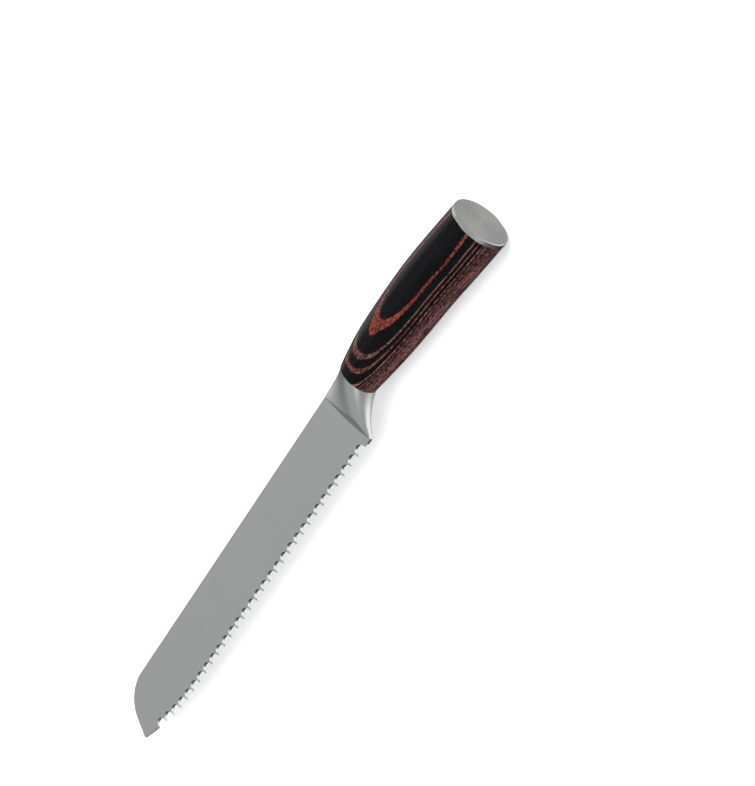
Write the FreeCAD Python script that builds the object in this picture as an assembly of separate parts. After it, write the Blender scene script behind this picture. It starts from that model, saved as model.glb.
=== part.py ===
import FreeCAD, Part
import math
import os

# Bread knife with a hidden tang: a scalloped blade, a bolster, and a handle of dyed veneers
# bonded in a stack, clamped on a threaded rod and closed by a steel end cap.
#
# The drawing frame used below, in millimetres: X runs from the tip to the butt with 0 at the
# heel of the blade, Y runs from the cutting edge (0, the line of the tooth points) to the spine,
# and Z is across the blade with 0 in its middle. export() moves every piece at the end, so that
# the origin is at the bottom centre of the knife lying on its flat side.

# Blade
BLADE_LENGTH = 204.8            # heel to tip corner
BLADE_THICKNESS = 2.0
SPINE_HEIGHT_AT_BOLSTER = 34.4
SPINE_HEIGHT_AT_TIP = 32.3
SPINE_ROUNDING = 0.6
TIP_RADIUS = 16.5               # where the spine turns down into the nose
NOSE_LEAN = 9.2                 # degrees that the nose line leans forward
TIP_CORNER_RADIUS = 1.5
EDGE_STRAIGHT = 160.7           # the edge is straight this far from the heel
EDGE_RADIUS = 135.0             # then it sweeps up on this radius

# Scallops: tilted half ellipses along the edge
SCALLOP_COUNT = 31
SCALLOP_PITCH = 6.1
SCALLOP_FIRST = 7.5             # heel to the middle of the first one
SCALLOP_LONG_RADIUS = 4.1
SCALLOP_SHORT_RADIUS = 2.8
SCALLOP_LEAN = 28.6             # degrees, bottom of the scallop towards the tip
BEVEL_HEIGHT = 4.6              # grind on the right-hand face only
BEVEL_DEPTH = 1.4
BEVEL_START = 3.0               # plain heel in front of the grind

# Bolster
BOLSTER_BACK = 12.3             # plane where the handle starts
LEDGE_SET_BACK = 8.2            # the front ledge is this much nearer the tip at the spine
LEDGE_BULGE = 1.0               # its curve, towards the tip
LEDGE_SLOPE = 33.0              # degrees between the ledge and the blade's face
BELLY_BULGE = 1.5               # hollow of the curve from the heel up to the handle
BOLSTER_TOP = 34.9
BOLSTER_FRONT_HALF = 1.8        # half thickness just ahead of the ledge, in the middle
FRONT_SKEW = 0.3                # there it is this share thicker at the belly, thinner at the spine
FRONT_SQUARENESS = 3.0          # superellipse exponent at the front, a true oval is 2
BOLSTER_SECTIONS = 7

# Handle: oval sections as (x, centre y, half height, half thickness)
HANDLE_SECTIONS = [
    (BOLSTER_BACK, 25.3, 9.7, 8.8),
    (28.0, 25.2, 12.1, 10.3),
    (48.0, 24.2, 13.6, 11.3),
    (70.0, 22.9, 14.3, 11.8),
    (90.0, 20.6, 14.5, 12.0),
    (108.9, 18.3, 14.35, 11.9),
]
SIDE_FLAT = 0.22                # the handle's sides are ground flat over this share of its height
PLY_COUNT = 24
PLY_THICKNESS = 1.0
CAP_THICKNESS = 2.2
CAP_ROUNDING = 0.5

# Tang, rod and fasteners, all on one line
ROD_HEIGHT = 21.0               # Y of the rod's axis
ROD_RADIUS = 3.0                # M6
ROD_FRONT = 24.0
ROD_END = 101.0
SHANK_BOTTOM = 17.5             # the blade's shank inside the bolster
SHANK_TOP = 31.0
SHANK_RELIEF = 0.1              # shank and tang are ground this much thinner, a side
TANG_HALF_HEIGHT = 4.5
TANG_END = 30.0
BORE_RADIUS = 4.0
SLOT_CLEARANCE = 0.5            # resin gap around the stub tang
COUNTERBORE_RADIUS = 8.0
COUNTERBORE_START = 90.0
WASHER_RADIUS = 7.0
WASHER_THICKNESS = 1.6
NUT_ACROSS_FLATS = 10.0
NUT_HEIGHT = 5.0
SOCKET_RADIUS = 6.0
SOCKET_FRONT = 97.6
SOCKET_THREAD_DEPTH = 5.0

HALF = BLADE_THICKNESS / 2
SHANK_HALF = HALF - SHANK_RELIEF
CAP_FRONT = HANDLE_SECTIONS[-1][0] - CAP_THICKNESS
FAR = 60.0                      # larger than the knife is across

Z_AXIS = FreeCAD.Vector(0, 0, 1)
X_AXIS = FreeCAD.Vector(1, 0, 0)


def point(x, y, z=0.0):
    return FreeCAD.Vector(x, y, z)


def block(x0, x1, y0, y1, z0, z1):
    return Part.makeBox(x1 - x0, y1 - y0, z1 - z0, point(x0, y0, z0))


def rod(radius, x0, x1):
    return Part.makeCylinder(radius, x1 - x0, point(x0, ROD_HEIGHT), X_AXIS)


def bulged_arc(start, end, bulge):
    """Centre and radius of the arc from start to end that bulges to the left of that way."""
    chord = end - start
    radius = chord.Length ** 2 / (8 * bulge) + bulge / 2
    across = point(-chord.y, chord.x).normalize()
    return (start + end) * 0.5 - across * (radius - bulge), radius


def edge_place(distance):
    """A place on the line of the tooth points, and the direction that points into the blade."""
    if distance <= EDGE_STRAIGHT:
        return point(-distance, 0), point(0, 1)
    angle = (distance - EDGE_STRAIGHT) / EDGE_RADIUS
    inward = point(math.sin(angle), math.cos(angle))
    return point(-EDGE_STRAIGHT, EDGE_RADIUS) - inward * EDGE_RADIUS, inward


HEEL = point(0, 0)
LEDGE_TOP = point(-LEDGE_SET_BACK, SPINE_HEIGHT_AT_BOLSTER)
LEDGE_CENTRE, LEDGE_RADIUS = bulged_arc(HEEL, LEDGE_TOP, LEDGE_BULGE)
HANDLE_BELLY = point(BOLSTER_BACK, HANDLE_SECTIONS[0][1] - HANDLE_SECTIONS[0][2])


def ledge_point(height):
    """Where the ledge meets the blade's face, at this height above the edge."""
    rise = height - LEDGE_CENTRE.y
    return point(LEDGE_CENTRE.x - math.sqrt(LEDGE_RADIUS ** 2 - rise ** 2), height)


def scallop(index):
    """Cutter for one scallop."""
    centre, inward = edge_place(SCALLOP_FIRST + index * SCALLOP_PITCH)
    ellipse = Part.Ellipse(point(0, 0), SCALLOP_LONG_RADIUS, SCALLOP_SHORT_RADIUS)
    cutter = Part.Face(Part.Wire([ellipse.toShape()])).extrude(point(0, 0, 2 * BLADE_THICKNESS))
    turn = math.degrees(math.atan2(inward.y, inward.x)) + SCALLOP_LEAN
    cutter.rotate(point(0, 0), Z_AXIS, turn)
    cutter.translate(point(centre.x, centre.y, -BLADE_THICKNESS))
    return cutter


def bevel():
    """Cutter for the grind: a wedge along the straight edge, then turned round the sweep."""
    slope = BEVEL_DEPTH / BEVEL_HEIGHT
    below = 1.5
    profile = [(BEVEL_HEIGHT, -HALF), (-below, -HALF + slope * (BEVEL_HEIGHT + below)),
               (-below, -FAR), (BEVEL_HEIGHT, -FAR)]
    corners = [point(-EDGE_STRAIGHT, height, z) for height, z in profile]
    face = Part.Face(Part.makePolygon(corners + corners[:1]))
    straight = face.extrude(point(EDGE_STRAIGHT - BEVEL_START, 0))
    sweep = math.degrees((BLADE_LENGTH + FAR - EDGE_STRAIGHT) / EDGE_RADIUS)
    curved = face.revolve(point(-EDGE_STRAIGHT, EDGE_RADIUS), Z_AXIS, -sweep)
    return straight, curved


def make_blade():
    drop = EDGE_RADIUS - math.sqrt(EDGE_RADIUS ** 2 - (BLADE_LENGTH - EDGE_STRAIGHT) ** 2)
    corner = point(-BLADE_LENGTH, drop)
    halfway, _ = edge_place((EDGE_STRAIGHT + BLADE_LENGTH) / 2)
    lean = math.radians(NOSE_LEAN)
    # The nose line passes through the corner and is tangent to the tip arc.
    centre_y = SPINE_HEIGHT_AT_TIP - TIP_RADIUS
    nose_rise = centre_y + TIP_RADIUS * math.sin(lean) - drop
    nose_top = corner + point(nose_rise * math.tan(lean), nose_rise)
    tip_centre = nose_top + point(math.cos(lean), -math.sin(lean)) * TIP_RADIUS
    tip_top = tip_centre + point(0, TIP_RADIUS)
    middle = math.radians(135 - NOSE_LEAN / 2)
    tip_middle = tip_centre + point(math.cos(middle), math.sin(middle)) * TIP_RADIUS
    back = [ledge_point(SHANK_TOP), point(BOLSTER_BACK, SHANK_TOP),
            point(BOLSTER_BACK, ROD_HEIGHT + TANG_HALF_HEIGHT),
            point(TANG_END, ROD_HEIGHT + TANG_HALF_HEIGHT),
            point(TANG_END, ROD_HEIGHT - TANG_HALF_HEIGHT),
            point(BOLSTER_BACK, ROD_HEIGHT - TANG_HALF_HEIGHT),
            point(BOLSTER_BACK, SHANK_BOTTOM), ledge_point(SHANK_BOTTOM)]
    back = [place for i, place in enumerate(back) if i == 0 or (place - back[i - 1]).Length > 0.01]
    edges = [
        Part.LineSegment(HEEL, point(-EDGE_STRAIGHT, 0)),
        Part.Arc(point(-EDGE_STRAIGHT, 0), halfway, corner),
        Part.LineSegment(corner, nose_top),
        Part.Arc(nose_top, tip_middle, tip_top),
        Part.LineSegment(tip_top, LEDGE_TOP),
        Part.Arc(LEDGE_TOP, ledge_point((SHANK_TOP + LEDGE_TOP.y) / 2), back[0]),
    ]
    edges += [Part.LineSegment(a, b) for a, b in zip(back, back[1:])]
    edges.append(Part.Arc(back[-1], ledge_point(SHANK_BOTTOM / 2), HEEL))
    outline = Part.Wire([edge.toShape() for edge in edges])
    blade = Part.Face(outline).extrude(point(0, 0, BLADE_THICKNESS))
    blade.translate(point(0, 0, -HALF))
    upright = [edge for edge in blade.Edges
               if all((point(v.X, v.Y) - corner).Length < 0.01 for v in edge.Vertexes)]
    blade = blade.makeFillet(TIP_CORNER_RADIUS, upright)
    spine = [edge for edge in blade.Edges
             if abs(abs(edge.CenterOfMass.z) - HALF) < 0.01
             and edge.CenterOfMass.x < LEDGE_TOP.x
             and edge.CenterOfMass.y > drop + 1.0]
    blade = blade.makeFillet(SPINE_ROUNDING, spine)
    relief = [Part.makeCylinder(LEDGE_RADIUS, HALF, point(LEDGE_CENTRE.x, LEDGE_CENTRE.y, z))
              for z in (SHANK_HALF, -SHANK_HALF - HALF)]
    return blade.cut([scallop(i) for i in range(SCALLOP_COUNT)] + list(bevel()) + relief)


def oval_wire(low, high, half, exponent, skew):
    """Closed smooth section standing on the line from low to high, thickness along Z."""
    middle = (low + high) * 0.5
    reach = (high - low) * 0.5
    count = 48
    places = []
    for i in range(count):
        angle = 2 * math.pi * i / count
        c, s = math.cos(angle), math.sin(angle)
        up = math.copysign(abs(c) ** (2 / exponent), c)
        out = math.copysign(abs(s) ** (2 / exponent), s)
        places.append(middle + reach * up + Z_AXIS * (half * out * (1 - skew * up)))
    curve = Part.BSplineCurve()
    curve.interpolate(places, PeriodicFlag=True)
    return Part.Wire([curve.toShape()])


def make_bolster(blade):
    centre, radius = bulged_arc(HEEL, HANDLE_BELLY, BELLY_BULGE)
    first = math.atan2(HEEL.y - centre.y, HEEL.x - centre.x)
    last = math.atan2(HANDLE_BELLY.y - centre.y, HANDLE_BELLY.x - centre.x)
    back_half = HANDLE_SECTIONS[0][3]
    handle_top = HANDLE_SECTIONS[0][1] + HANDLE_SECTIONS[0][2]
    front_overrun = 0.12
    wires = []
    for i in range(BOLSTER_SECTIONS):
        share = i / (BOLSTER_SECTIONS - 1)
        along = -front_overrun + (1 + front_overrun) * share
        angle = first + (last - first) * along
        low = centre + point(math.cos(angle), math.sin(angle)) * radius
        high_x = LEDGE_TOP.x - 2.3 + (BOLSTER_BACK - LEDGE_TOP.x + 2.3) * share
        high = point(high_x, BOLSTER_TOP + (handle_top - BOLSTER_TOP) * share)
        half = BOLSTER_FRONT_HALF + (back_half - BOLSTER_FRONT_HALF) * share ** 1.2
        exponent = 2.0 + (FRONT_SQUARENESS - 2.0) * (1 - share) ** 2
        wires.append(oval_wire(low, high, half, exponent, FRONT_SKEW * (1 - share)))
    body = Part.makeLoft(wires, True, False)
    # The ledge is a cone round the ledge curve's centre, so that its slope is the same all along.
    rise = 12.0
    narrow = LEDGE_RADIUS - rise / math.tan(math.radians(LEDGE_SLOPE))
    base = point(LEDGE_CENTRE.x, LEDGE_CENTRE.y, HALF)
    keep = Part.makeCylinder(LEDGE_RADIUS, BLADE_THICKNESS, base - Z_AXIS * BLADE_THICKNESS)
    keep = keep.fuse([Part.makeCone(LEDGE_RADIUS, narrow, rise, base),
                      Part.makeCone(LEDGE_RADIUS, narrow, rise, base - Z_AXIS * BLADE_THICKNESS, -Z_AXIS)])
    return body.common(keep).cut(blade)


def flat_sided_oval(x, centre, height, half):
    """Closed section: an oval whose two sides are ground flat, each over SIDE_FLAT of its height."""
    reach = SIDE_FLAT * height
    turn = math.acos(SIDE_FLAT)
    full = half / math.sin(turn)
    oval = Part.Ellipse(point(x, centre + height), point(x, centre, full), point(x, centre))
    left = Part.makeLine(point(x, centre + reach, half), point(x, centre - reach, half))
    right = Part.makeLine(point(x, centre - reach, -half), point(x, centre + reach, -half))
    return Part.Wire([oval.toShape(-turn, turn), left, oval.toShape(math.pi - turn, math.pi + turn), right])


def make_handle_form():
    """The outer form of handle and cap together, one smooth loft."""
    return Part.makeLoft([flat_sided_oval(*section) for section in HANDLE_SECTIONS], True, False)


def make_hollow():
    """Everything drilled and milled out of the handle stack."""
    bore = rod(BORE_RADIUS, BOLSTER_BACK, COUNTERBORE_START)
    reach = TANG_HALF_HEIGHT + SLOT_CLEARANCE
    side = HALF + SLOT_CLEARANCE
    slot = block(BOLSTER_BACK, TANG_END + SLOT_CLEARANCE, ROD_HEIGHT - reach, ROD_HEIGHT + reach, -side, side)
    return bore.fuse(slot), rod(COUNTERBORE_RADIUS, COUNTERBORE_START, CAP_FRONT)


def hexagon(across_flats, x0, x1):
    radius = across_flats / math.sqrt(3)
    corners = [point(x0, ROD_HEIGHT + radius * math.cos(math.radians(60 * i)),
                     radius * math.sin(math.radians(60 * i))) for i in range(7)]
    return Part.Face(Part.makePolygon(corners)).extrude(X_AXIS * (x1 - x0))


def export(pieces):
    box = Part.makeCompound(list(pieces.values())).optimalBoundingBox(False, False)
    shift = point(-box.Center.x, -box.Center.y, -box.ZMin)
    os.makedirs("parts", exist_ok=True)
    for name, shape in pieces.items():
        if len(shape.Solids) == 1:
            shape = shape.Solids[0]
        shape.translate(shift)
        shape.exportStep("parts/" + name + ".step")
        print(f"{name:16s} solids {len(shape.Solids)} valid {shape.isValid()} volume {shape.Volume:9.1f}")
    print("overall", round(box.XLength, 2), round(box.YLength, 2), round(box.ZLength, 2), "shift", shift)


blade = make_blade()
bolster = make_bolster(blade)
form = make_handle_form()
bedding_room, counterbore = make_hollow()

stub = block(ROD_FRONT - 1, TANG_END, 0, FAR, -SHANK_HALF, SHANK_HALF)
tang_rod = rod(ROD_RADIUS, ROD_FRONT, ROD_END).cut(stub)
bedding = bedding_room.cut([blade, tang_rod])

nut_front = COUNTERBORE_START + WASHER_THICKNESS
washer = rod(WASHER_RADIUS, COUNTERBORE_START, nut_front).cut(tang_rod)
nut = hexagon(NUT_ACROSS_FLATS, nut_front, nut_front + NUT_HEIGHT).cut(tang_rod)
socket = rod(SOCKET_RADIUS, SOCKET_FRONT, CAP_FRONT)
socket = socket.cut(rod(ROD_RADIUS, SOCKET_FRONT, SOCKET_FRONT + SOCKET_THREAD_DEPTH))

butt = HANDLE_SECTIONS[-1][0]
end_cap = form.common(block(CAP_FRONT, butt + 1, -FAR, FAR, -FAR, FAR))
rim = [edge for edge in end_cap.Edges if abs(edge.CenterOfMass.x - butt) < 0.01]
end_cap = end_cap.makeFillet(CAP_ROUNDING, rim)

pieces = {
    "blade": blade,
    "bolster": bolster,
    "tang_rod": tang_rod,
    "resin_bedding": bedding,
    "clamp_washer": washer,
    "clamp_nut": nut,
    "cap_socket": socket,
    "end_cap": end_cap,
}

stack = form.common(block(BOLSTER_BACK, CAP_FRONT, -FAR, FAR, -FAR, FAR)).cut([bedding_room, counterbore])
stack_bottom = -PLY_COUNT * PLY_THICKNESS / 2
for i in range(PLY_COUNT):
    low = stack_bottom + i * PLY_THICKNESS
    slab = block(BOLSTER_BACK, CAP_FRONT, -FAR, FAR, low, low + PLY_THICKNESS)
    pieces[f"veneer_{i + 1:02d}"] = stack.common(slab)

export(pieces)
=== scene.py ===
import math

import bpy
import numpy as np
from mathutils import Matrix, Vector


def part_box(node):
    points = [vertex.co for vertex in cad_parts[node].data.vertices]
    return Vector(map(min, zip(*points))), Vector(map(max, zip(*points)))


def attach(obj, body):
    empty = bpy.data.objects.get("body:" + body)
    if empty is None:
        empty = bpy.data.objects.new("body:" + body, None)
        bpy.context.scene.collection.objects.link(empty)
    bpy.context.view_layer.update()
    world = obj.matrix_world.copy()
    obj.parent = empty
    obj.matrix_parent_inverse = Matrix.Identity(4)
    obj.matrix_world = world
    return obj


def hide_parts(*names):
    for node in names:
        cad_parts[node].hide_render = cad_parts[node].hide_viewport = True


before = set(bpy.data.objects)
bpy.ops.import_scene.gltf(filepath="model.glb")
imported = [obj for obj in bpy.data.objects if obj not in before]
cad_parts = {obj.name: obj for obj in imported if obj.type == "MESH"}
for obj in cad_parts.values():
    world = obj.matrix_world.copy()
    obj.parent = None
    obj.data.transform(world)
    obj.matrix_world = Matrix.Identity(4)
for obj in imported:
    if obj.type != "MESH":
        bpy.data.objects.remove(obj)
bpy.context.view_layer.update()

MM = 0.001
BLADE_LOW, BLADE_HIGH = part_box("blade")
BOLSTER_LOW, BOLSTER_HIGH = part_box("bolster")
CAP_LOW, CAP_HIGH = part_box("end_cap")
MIDDLE_Z = (BLADE_LOW.z + BLADE_HIGH.z) / 2
HANDLE_FRONT = BOLSTER_HIGH.x
HANDLE_BACK = CAP_LOW.x

# Sections of the handle, ovals with two flat sides: distance behind the bolster, centre above
# the tooth points, half height and half thickness, in millimetres
HANDLE_SECTIONS = [
    (0.0, 25.3, 9.7, 8.8),
    (15.7, 25.2, 12.1, 10.3),
    (35.7, 24.2, 13.6, 11.3),
    (57.7, 22.9, 14.3, 11.8),
    (77.7, 20.6, 14.5, 12.0),
    (96.6, 18.3, 14.35, 11.9),
]


# ---------------------------------------------------------------- finishes

class Value:
    """One value in a finish, so that sums are written as ordinary expressions."""

    def __init__(self, finish, socket):
        self.finish = finish
        self.socket = socket

    def sum(self, operation, *others):
        inputs = dict(enumerate((self,) + others))
        return self.finish.node("Math", {"operation": operation}, inputs)

    def __add__(self, other):
        return self.sum("ADD", other)

    __radd__ = __add__

    def __sub__(self, other):
        return self.sum("SUBTRACT", other)

    def __rsub__(self, other):
        return self.finish.node("Math", {"operation": "SUBTRACT"}, {0: other, 1: self})

    def __mul__(self, other):
        return self.sum("MULTIPLY", other)

    __rmul__ = __mul__

    def __truediv__(self, other):
        return self.sum("DIVIDE", other)

    def power(self, exponent):
        return self.sum("POWER", exponent)

    def step(self, low, high):
        """0 below low, 1 above high, smooth between them."""
        settings = {"interpolation_type": "SMOOTHSTEP"}
        return self.finish.node("MapRange", settings, {0: self, 1: low, 2: high})


class Finish:
    """A material or the studio air, made node by node."""

    def __init__(self, owner):
        self.owner = owner
        self.owner.use_nodes = True
        self.tree = self.owner.node_tree
        self.tree.nodes.clear()

    def node(self, kind, settings=None, inputs=None, output=0):
        node = self.tree.nodes.new("ShaderNode" + kind)
        for key, setting in (settings or {}).items():
            if key == "stops":
                self.set_stops(node.color_ramp, setting)
            elif key == "ramp_kind":
                node.color_ramp.interpolation = setting
            else:
                setattr(node, key, setting)
        for key, value in (inputs or {}).items():
            if isinstance(value, Value):
                self.tree.links.new(value.socket, node.inputs[key])
            else:
                node.inputs[key].default_value = value
        return Value(self, node.outputs[output])

    def set_stops(self, ramp, stops):
        while len(ramp.elements) > 1:
            ramp.elements.remove(ramp.elements[0])
        for i, (place, colour) in enumerate(stops):
            element = ramp.elements[0] if i == 0 else ramp.elements.new(place)
            element.position = place
            element.color = (*colour, 1.0)

    def place(self):
        return self.node("TexCoord", output="Object")

    def stretched(self, place, scale):
        return self.node("VectorMath", {"operation": "MULTIPLY"}, {0: place, 1: scale})

    def noise(self, place, scale, detail, roughness):
        return self.node("TexNoise", None, {"Vector": place, "Scale": scale, "Detail": detail,
                                            "Roughness": roughness})

    def mix(self, share, first, second):
        return self.node("Mix", {"data_type": "RGBA"}, {0: share, 6: first, 7: second}, output=2)

    def bump(self, height, strength, distance):
        return self.node("Bump", None, {"Height": height, "Strength": strength, "Distance": distance})

    def surface(self, **inputs):
        shader = self.node("BsdfPrincipled", None, {k.replace("_", " "): v for k, v in inputs.items()})
        self.end(shader, "Material")
        return self.owner

    def end(self, shader, kind):
        end = self.tree.nodes.new("ShaderNodeOutput" + kind)
        self.tree.links.new(shader.socket, end.inputs["Surface"])


def new_finish(name):
    return Finish(bpy.data.materials.new(name))


def colour(red, green, blue):
    return (red, green, blue, 1.0)


def ground_steel(name, shade, roughness, grain):
    """Steel with a fine grind: grain is how many lines a metre, along x, y and z."""
    f = new_finish(name)
    place = f.place()
    lines = f.noise(f.stretched(place, grain), 1.0, 2.0, 0.6)
    cloud = f.noise(place, 45.0, 2.0, 0.5)
    tone = 0.5 + (lines - 0.5) * 0.3 + (cloud - 0.5) * 0.25
    dark = colour(*[c * 0.9 for c in shade])
    light = colour(*[min(1.0, c * 1.1) for c in shade])
    base = f.mix(tone, dark, light)
    rough = roughness + (lines - 0.5) * 0.10 + (cloud - 0.5) * 0.05
    return f.surface(Base_Color=base, Metallic=1.0, Roughness=rough,
                     Normal=f.bump(lines, 0.06, 0.0001))


def faced_steel_with_painted_fan(name, shade, roughness, axis_height):
    """Steel faced off about an axis along x: fine rings, and a painted reflection, a soft fan painted into
    its colour.
    """
    f = new_finish(name)
    place = f.place()
    up = f.node("SeparateXYZ", None, {"Vector": place}, output="Y") - axis_height
    across = f.node("SeparateXYZ", None, {"Vector": place}, output="Z") - MIDDLE_Z
    radius = (up * up + across * across).power(0.5)
    # Painted reflection: a soft fan, lighter and darker by angle round the axis, painted into the colour
    painted_fan_reflection = (up.sum("ARCTAN2", across) * 2.0 + 0.9).sum("COSINE")
    rings = f.noise(f.node("CombineXYZ", None, {"X": radius * 1500.0}), 1.0, 2.0, 0.6)
    cloud = f.noise(place, 300.0, 2.0, 0.5)
    # The tone carries the painted reflection fan besides the rings and the random cloud
    tone = 0.5 + painted_fan_reflection * 0.22 + (rings - 0.5) * 0.7 + (cloud - 0.5) * 0.5
    base = f.mix(tone.step(0.0, 1.0), colour(*[c * 0.86 for c in shade]), colour(*[c * 1.14 for c in shade]))
    return f.surface(Base_Color=base, Metallic=1.0, Roughness=roughness + (rings - 0.5) * 0.12,
                     Normal=f.bump(rings, 0.05, 0.0001))


def make_laminate():
    """Thin dyed veneers under a resin polish. The mesh carries how far up the stack each point is."""
    f = new_finish("laminate_polished")
    place = f.place()
    height = f.node("Attribute", {"attribute_name": "ply_height"}, output="Fac")
    slow = f.noise(f.stretched(place, (30.0, 60.0, 60.0)), 1.0, 2.0, 0.5) - 0.5
    quick = f.noise(f.stretched(place, (500.0, 3000.0, 3000.0)), 1.0, 3.0, 0.6) - 0.5
    flat = f.node("Attribute", {"attribute_name": "ply_flatness"}, output="Fac")
    ply = height + slow * 0.30 + quick * (flat * 0.34 + 0.07)
    share = (ply - PLY_LOW) / (PLY_HIGH - PLY_LOW)
    dye = f.node("ValToRGB", {"stops": veneer_stops(), "ramp_kind": "CONSTANT"}, {"Fac": share})
    fibres = f.noise(f.stretched(place, (350.0, 2600.0, 2600.0)), 1.0, 3.0, 0.65)
    pores = f.noise(f.stretched(place, (650.0, 1300.0, 1300.0)), 1.0, 2.0, 0.7)
    patches = f.noise(f.stretched(place, (70.0, 240.0, 240.0)), 1.0, 2.0, 0.5)
    dark = f.node("HueSaturation", None, {"Value": 0.16, "Color": dye})
    light = f.node("HueSaturation", None, {"Value": 1.7, "Saturation": 0.93, "Color": dye})
    grain = (pores - 0.5) * 3.0 + (fibres - 0.5) * 0.5 + (patches - 0.5) * 0.9 + 0.5
    base = f.mix(grain.step(0.0, 1.0), dark, light)
    rough = 0.30 + (fibres - 0.5) * 0.12
    return f.surface(Base_Color=base, Roughness=rough, Specular_IOR_Level=0.10,
                     Normal=f.bump(fibres, 0.05, 0.0001))


PLY_LOW, PLY_HIGH = 4.2, 12.6
BLACK = (0.0022, 0.0022, 0.0032)
RED = (0.155, 0.019, 0.012)
MAROON = (0.105, 0.028, 0.022)
BROWN = (0.115, 0.045, 0.040)
MUDDY = (0.028, 0.008, 0.009)
PLUM = (0.062, 0.020, 0.024)
PINK = (0.17, 0.078, 0.070)

# The stack from the middle of the handle out: how high each veneer ends, and its dye
VENEERS = [
    (4.55, PLUM), (4.85, BROWN), (5.15, PLUM), (5.5, PINK), (5.9, PLUM), (6.2, BROWN), (6.5, MUDDY),
    (6.75, PINK), (7.1, BLACK), (7.3, BROWN), (7.6, BLACK), (7.8, PINK), (8.1, BLACK), (8.3, MAROON),
    (8.55, BLACK), (8.74, PINK), (9.36, BLACK), (9.64, MAROON), (10.1, BLACK), (10.3, BROWN),
    (11.05, BLACK), (11.24, RED), (12.6, BLACK),
]


def veneer_stops():
    """Each veneer is one even band."""
    stops = []
    low = PLY_LOW
    span = PLY_HIGH - PLY_LOW
    for high, dye in VENEERS:
        stops.append(((low - PLY_LOW) / span, dye))
        low = high
    return stops


# ---------------------------------------------------------------- handle

def smooth_through(places, values):
    """Natural cubic through the values, as a function of place."""
    count = len(places)
    gaps = np.diff(places)
    matrix = np.zeros((count, count))
    right = np.zeros(count)
    matrix[0, 0] = matrix[-1, -1] = 1.0
    for i in range(1, count - 1):
        matrix[i, i - 1:i + 2] = gaps[i - 1], 2 * (gaps[i - 1] + gaps[i]), gaps[i]
        right[i] = 6 * ((values[i + 1] - values[i]) / gaps[i] - (values[i] - values[i - 1]) / gaps[i - 1])
    bend = np.linalg.solve(matrix, right)

    def at(place):
        i = min(max(int(np.searchsorted(places, place)) - 1, 0), count - 2)
        gap = gaps[i]
        a, b = (places[i + 1] - place) / gap, (place - places[i]) / gap
        curve = ((a ** 3 - a) * bend[i] + (b ** 3 - b) * bend[i + 1]) * gap ** 2 / 6
        return a * values[i] + b * values[i + 1] + curve
    return at


SECTION_PLACES = np.array([row[0] for row in HANDLE_SECTIONS])
HANDLE_CENTRE, HANDLE_HALF_HEIGHT, HANDLE_HALF_WIDTH = (
    smooth_through(SECTION_PLACES, np.array([row[i] for row in HANDLE_SECTIONS])) for i in (1, 2, 3))
TOOTH_LINE = BLADE_LOW.y
AROUND = 192            # points round the handle
ALONG = 150             # and steps along it
END_EDGE = 0.22         # the edges at its two ends are eased by this much
HALF_EASED = (0.06, 0.08)   # on the way, a ring this far in from the end and from the side
SIDE_FLAT = 0.22        # the sides are ground flat over this share of the height
FLAT_EDGE = 0.12        # softness of the flats' edges
BORE_RADIUS = 4.0
COUNTERBORE_RADIUS = 8.0
PLY_BOW = 4.6           # how far the plies rise towards spine and belly, in millimetres
PLY_DROP = 0.40         # and how far they fall from the front of the grip to the cap
PLY_DROP_START = 33.7
# Where a dyed ply comes out flat on top of the grip it shows wider: place, reach and height
PLY_SWELLS = [(26.2, 3.5, 0.20), (12.6, 2.2, 0.12), (7.2, 2.2, 0.10)]
TOP_REACH = 0.35        # the grip's upper face, as a share of the half height each way from its middle
RAGGED_LENGTH = 45.0    # there the plies' edges are ragged, less and less up to this far behind the bolster


def flattened(half_width, out):
    """How far the oval stands out at the side, where it is ground flat with a soft edge."""
    full = half_width / math.sqrt(1 - SIDE_FLAT ** 2) * out
    return (full + half_width - math.sqrt((full - half_width) ** 2 + FLAT_EDGE ** 2)) / 2


def oval_ring(distance, shrink=0.0):
    """Points of the handle's oval at this distance behind the bolster, and each one's ply height."""
    centre, half_height, half_width = (
        HANDLE_CENTRE(distance), HANDLE_HALF_HEIGHT(distance), HANDLE_HALF_WIDTH(distance))
    share = max(0.0, distance - PLY_DROP_START) / (SECTION_PLACES[-1] - PLY_DROP_START)
    ring = []
    for i in range(AROUND):
        angle = 2 * math.pi * i / AROUND
        up, out = math.cos(angle), math.sin(angle)
        side = math.copysign(flattened(half_width, abs(out)) - shrink * abs(out), out)
        point = Vector((HANDLE_FRONT + distance * MM,
                        TOOTH_LINE + (centre + (half_height - shrink) * up) * MM,
                        MIDDLE_Z + side * MM))
        top = math.exp(-(up / TOP_REACH) ** 2)
        swell = sum(height * math.exp(-((distance - at) / reach) ** 2) for at, reach, height in PLY_SWELLS)
        ring.append((point, abs(half_width * out) + PLY_BOW * up ** 2 - PLY_DROP * share + swell * top,
                     top * max(0.0, 1.0 - distance / RAGGED_LENGTH)))
    return ring


def bore_ring(distance, radius, axis_height):
    ring = []
    for i in range(AROUND):
        angle = 2 * math.pi * i / AROUND
        point = Vector((HANDLE_FRONT + distance * MM, axis_height + radius * math.cos(angle) * MM,
                        MIDDLE_Z + radius * math.sin(angle) * MM))
        ring.append((point, abs(radius * math.sin(angle)) + PLY_BOW * 0.1, 0.0))
    return ring


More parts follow.
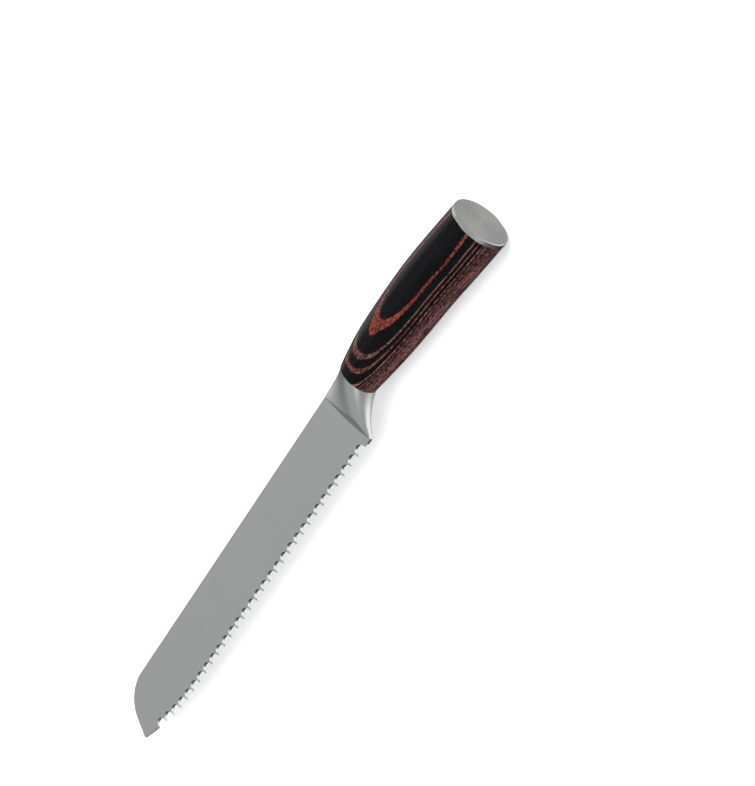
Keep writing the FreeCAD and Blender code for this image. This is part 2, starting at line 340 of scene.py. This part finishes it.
def make_handle():
    length = (HANDLE_BACK - HANDLE_FRONT) / MM
    eased_in, eased_down = HALF_EASED
    rings = [oval_ring(0.0, END_EDGE), oval_ring(eased_in, eased_down), oval_ring(END_EDGE)]
    rings += [oval_ring(END_EDGE + (length - 2 * END_EDGE) * i / ALONG) for i in range(1, ALONG)]
    rings += [oval_ring(length - END_EDGE), oval_ring(length - eased_in, eased_down),
              oval_ring(length, END_EDGE)]
    rod_low, rod_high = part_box("tang_rod")
    axis = (rod_low.y + rod_high.y) / 2
    washer_front = (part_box("clamp_washer")[0].x - HANDLE_FRONT) / MM
    rings += [bore_ring(length, COUNTERBORE_RADIUS, axis), bore_ring(washer_front, COUNTERBORE_RADIUS, axis),
              bore_ring(washer_front, BORE_RADIUS, axis), bore_ring(0.0, BORE_RADIUS, axis)]
    points = [row[0] for ring in rings for row in ring]
    heights = [row[1] for ring in rings for row in ring]
    flatness = [row[2] for ring in rings for row in ring]
    faces = []
    for r in range(len(rings)):
        following = (r + 1) % len(rings)
        for i in range(AROUND):
            j = (i + 1) % AROUND
            faces.append((r * AROUND + i, following * AROUND + i, following * AROUND + j, r * AROUND + j))
    mesh = bpy.data.meshes.new("handle_laminate")
    mesh.from_pydata(points, [], faces)
    mesh.attributes.new("ply_height", "FLOAT", "POINT").data.foreach_set("value", heights)
    mesh.attributes.new("ply_flatness", "FLOAT", "POINT").data.foreach_set("value", flatness)
    mesh.polygons.foreach_set("use_smooth", [True] * len(faces))
    mesh.set_sharp_from_angle(angle=math.radians(50))
    mesh.update()
    handle = bpy.data.objects.new("handle_laminate", mesh)
    bpy.context.scene.collection.objects.link(handle)
    return handle


# ---------------------------------------------------------------- studio

def make_studio():
    f = new_finish("studio_floor_lit")
    cloud = f.noise(f.place(), 3.0, 2.0, 0.5)
    floor_finish = f.surface(Base_Color=f.mix(cloud, colour(0.88, 0.88, 0.88), colour(0.92, 0.92, 0.92)),
                             Roughness=0.9, Emission_Color=colour(1.0, 1.0, 1.0), Emission_Strength=0.45)
    mesh = bpy.data.meshes.new("studio_floor")
    reach = 6.0
    mesh.from_pydata([(-reach, -reach, 0), (reach, -reach, 0), (reach, reach, 0), (-reach, reach, 0)],
                     [], [(0, 1, 2, 3)])
    floor = bpy.data.objects.new("studio_floor", mesh)
    floor.data.materials.append(floor_finish)
    floor.visible_glossy = False
    bpy.context.scene.collection.objects.link(floor)


def make_air(world):
    """Pale air with dark and bright sides, as polished steel shows them. Matt surfaces are lit by
    even bright air instead, and behind the knife the air is plain."""
    f = Finish(world)
    way = f.node("TexCoord", output="Generated")

    def facing(direction, outer, inner):
        toward = Vector(direction).normalized()
        share = f.node("VectorMath", {"operation": "DOT_PRODUCT"}, {0: way, 1: toward}, output="Value")
        return share.step(math.cos(math.radians(outer)), math.cos(math.radians(inner)))

    dark = (facing((-0.86, 0.42, -0.30), 36, 20), colour(0.010, 0.011, 0.012))
    dark_low = (facing((-0.72, -0.20, -0.66), 40, 20), colour(0.015, 0.016, 0.018))
    below = (facing((-0.35, -0.91, -0.20), 48, 28), colour(0.16, 0.16, 0.16))
    right_wall = (facing((0.69, -0.154, -0.667), 42, 20), colour(1.7, 1.7, 1.7))
    front_wall = (facing((-0.16, -0.80, 0.58), 28, 8), colour(1.25, 1.25, 1.25))
    far_wall = (facing((-0.42, 0.88, 0.20), 30, 8), colour(1.1, 1.1, 1.1))
    level = colour(0.55, 0.55, 0.55)
    for share, shade in (dark, dark_low, below, right_wall, front_wall, far_wall):
        level = f.mix(share, level, shade)
    level = f.mix(f.node("LightPath", output="Is Diffuse Ray"), level, colour(0.95, 0.95, 0.95))
    level = f.mix(f.node("LightPath", output="Is Camera Ray"), level, colour(0.9, 0.9, 0.9))
    f.end(f.node("Background", None, {"Color": level, "Strength": 1.0}), "World")


LIGHT_SIZE = 1.6


def add_light(name, place, power):
    """A square soft light aimed at the knife."""
    data = bpy.data.lights.new(name, "AREA")
    data.shape = "RECTANGLE"
    data.size = data.size_y = LIGHT_SIZE
    data.energy = power
    light = bpy.data.objects.new(name, data)
    light.location = place
    light.visible_camera = False
    light.visible_glossy = False
    light.rotation_euler = (-Vector(place)).to_track_quat("-Z", "Y").to_euler()
    bpy.context.scene.collection.objects.link(light)


CAMERA_PLACE = (0.69734, -0.69727, 0.85064)
CAMERA_LENS = 135.2
# Which way the camera's right side, its top and its back point
CAMERA_RIGHT = (0.49285, -0.45151, -0.74380)
CAMERA_UP = (0.70947, 0.70342, 0.04310)
CAMERA_BACK = (0.50374, -0.54894, 0.66702)


def make_camera():
    data = bpy.data.cameras.new("camera")
    data.sensor_width = 36.0
    data.lens = CAMERA_LENS
    data.clip_start, data.clip_end = 0.01, 50.0
    camera = bpy.data.objects.new("camera", data)
    turn = Matrix((CAMERA_RIGHT, CAMERA_UP, CAMERA_BACK)).transposed().to_4x4()
    camera.matrix_world = Matrix.Translation(CAMERA_PLACE) @ turn
    bpy.context.scene.collection.objects.link(camera)
    bpy.context.scene.camera = camera


def set_finish(piece, material):
    piece.data.materials.clear()
    piece.data.materials.append(material)


make_camera()
make_studio()

world = bpy.data.worlds.new("studio_air")
world.use_nodes = True
bpy.context.scene.world = world
make_air(world)
bpy.context.scene.view_settings.view_transform = "Standard"

add_light("key_soft", (1.3, 0.9, 1.2), 14.0)
add_light("fill_soft", (-0.9, 0.2, 1.7), 14.0)

handle = make_handle()
set_finish(handle, make_laminate())
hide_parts(*[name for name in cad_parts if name.startswith("veneer_")])
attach(handle, "root")

blade_steel = ground_steel("blade_steel_satin", (0.545, 0.566, 0.556), 0.36, (2600.0, 90.0, 90.0))
bolster_steel = ground_steel("bolster_steel_satin", (0.55, 0.57, 0.56), 0.38, (900.0, 900.0, 900.0))
# The cap's steel has a soft fan of reflection painted into its colour
cap_steel = faced_steel_with_painted_fan("cap_steel_brushed_with_painted_fan", (0.50, 0.50, 0.49), 0.34, (CAP_LOW.y + CAP_HIGH.y) / 2)
rod_steel = ground_steel("rod_steel_drawn", (0.34, 0.34, 0.33), 0.42, (80.0, 2200.0, 2200.0))
zinc = ground_steel("fastener_steel_zinc", (0.55, 0.55, 0.52), 0.33, (700.0, 700.0, 700.0))

resin = new_finish("resin_amber")
bubbles = resin.noise(resin.place(), 900.0, 3.0, 0.6)
resin_cured = resin.surface(
    Base_Color=resin.mix(bubbles, colour(0.30, 0.19, 0.07), colour(0.55, 0.42, 0.22)),
    Roughness=0.22 + bubbles * 0.2, Normal=resin.bump(bubbles, 0.15, 0.0002))

for node, material in {
        "blade": blade_steel, "bolster": bolster_steel, "end_cap": cap_steel, "tang_rod": rod_steel,
        "cap_socket": rod_steel, "clamp_washer": zinc, "clamp_nut": zinc,
        "resin_bedding": resin_cured}.items():
    set_finish(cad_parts[node], material)
